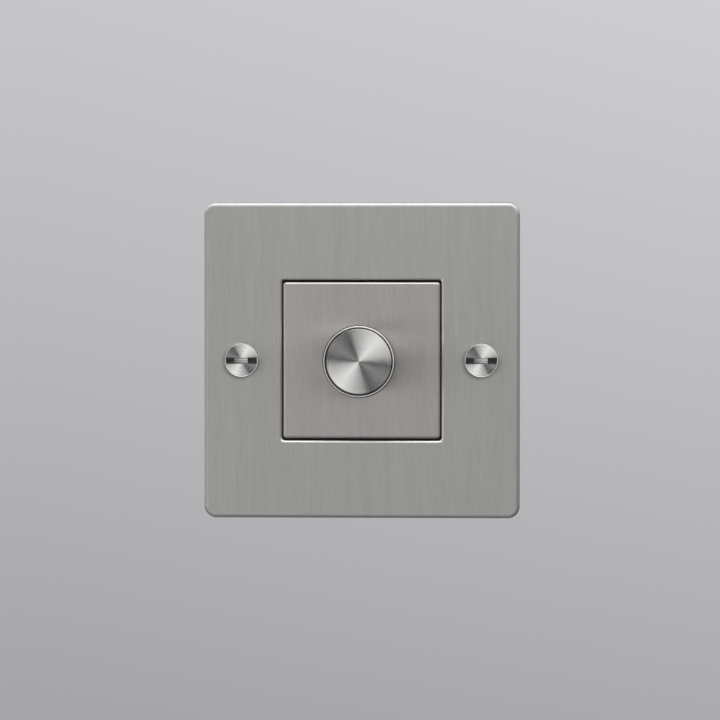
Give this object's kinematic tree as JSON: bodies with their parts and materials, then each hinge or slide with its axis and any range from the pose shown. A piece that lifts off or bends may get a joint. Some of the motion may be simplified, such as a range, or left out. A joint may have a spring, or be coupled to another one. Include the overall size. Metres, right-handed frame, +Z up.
{
  "type": "dimmer switch",
  "caption": "Square brushed-steel dimmer plate with a flush square insert, a round turn-and-push knob, coin-slot fixing screws and a wall-box module behind.",
  "frame": {"origin": "centre of the plate's back rim, in the plane of the wall", "axes": "+Y into the wall, +Z up, +X to the right as seen from the room"},
  "size_m": [0.079, 0.0422, 0.079],
  "materials": {
    "plate_steel": "fine vertical brushing",
    "insert_steel": "fine vertical brushing, a little warmer",
    "spun_steel": "turned, with concentric marks on the face",
    "gasket_black": "matt black sheet",
    "zinc_steel": "bright zinc plating",
    "black_moulding": "fine spark texture",
    "white_nylon": "moulded",
    "tan_laminate": "pressed laminate",
    "board_green": "solder mask",
    "brass": "turned and milled",
    "bronze_spring": "bright strip",
    "tinned_wire": "tinned",
    "spring_steel": "drawn wire",
    "aluminium_plain": "mill finish",
    "ferrite_grey": "sintered ring",
    "copper_enamel": "enamelled wire",
    "film_box": "potted box",
    "can_sleeve": "shrunk sleeve",
    "black_epoxy": "moulded epoxy",
    "fuse_brown": "moulded cap",
    "varistor_blue": "dipped coating",
    "resistor_buff": "lacquered barrel"
  },
  "bodies": {
    "base": {"front_plate": "plate_steel", "insert_plate": "insert_steel", "fixing_screws": "spun_steel", "backing_gasket": "gasket_black", "mounting_strap": "zinc_steel", "bush_washer": "zinc_steel", "bush_nut": "zinc_steel", "terminal_screws": "zinc_steel", "earth_screw": "zinc_steel", "housing_lid": "black_moulding", "housing_shell": "black_moulding", "switch_case": "black_moulding", "track_wafer": "tan_laminate", "circuit_board": "board_green", "terminal_cages": "brass", "earth_terminal": "brass", "threaded_bush": "brass", "switch_contacts": "brass", "track_terminals": "tinned_wire", "return_spring": "spring_steel", "pot_case": "zinc_steel", "heat_sink": "aluminium_plain", "choke_core": "ferrite_grey", "choke_winding": "copper_enamel", "film_capacitor": "film_box", "smoothing_capacitor": "can_sleeve", "bridge_rectifier": "black_epoxy", "power_transistors": "black_epoxy", "controller_chip": "black_epoxy", "fuse": "fuse_brown", "varistor": "varistor_blue", "feed_resistor": "resistor_buff"},
    "rotor": {"wiper_rotor": "white_nylon", "wiper_contact": "bronze_spring"},
    "knob": {"knob": "spun_steel", "knob_liner": "white_nylon", "control_shaft": "aluminium_plain", "shaft_clip": "spring_steel"},
    "plunger": {"switch_plunger": "white_nylon", "contact_ring": "bronze_spring"}
  },
  "joints": [
    {"name": "knob_turn", "type": "hinge", "parent": "base", "child": "rotor", "pos_m": [0, 0, 0], "axis": [0, 1, 0], "range_deg": [-135, 135]},
    {"name": "knob_push", "type": "slide", "parent": "rotor", "child": "knob", "axis": [0, 1, 0], "range_m": [0, 0.0008], "stiffness_N_per_m": 1500, "springref_m": -0.002},
    {"name": "switch_push", "type": "slide", "parent": "base", "child": "plunger", "axis": [0, 1, 0], "range_m": [0, 0.0008], "deforming": ["return_spring"]}
  ],
  "couplings": [
    {"joint": "switch_push", "follows": "knob_push", "ratio": 1}
  ]
}
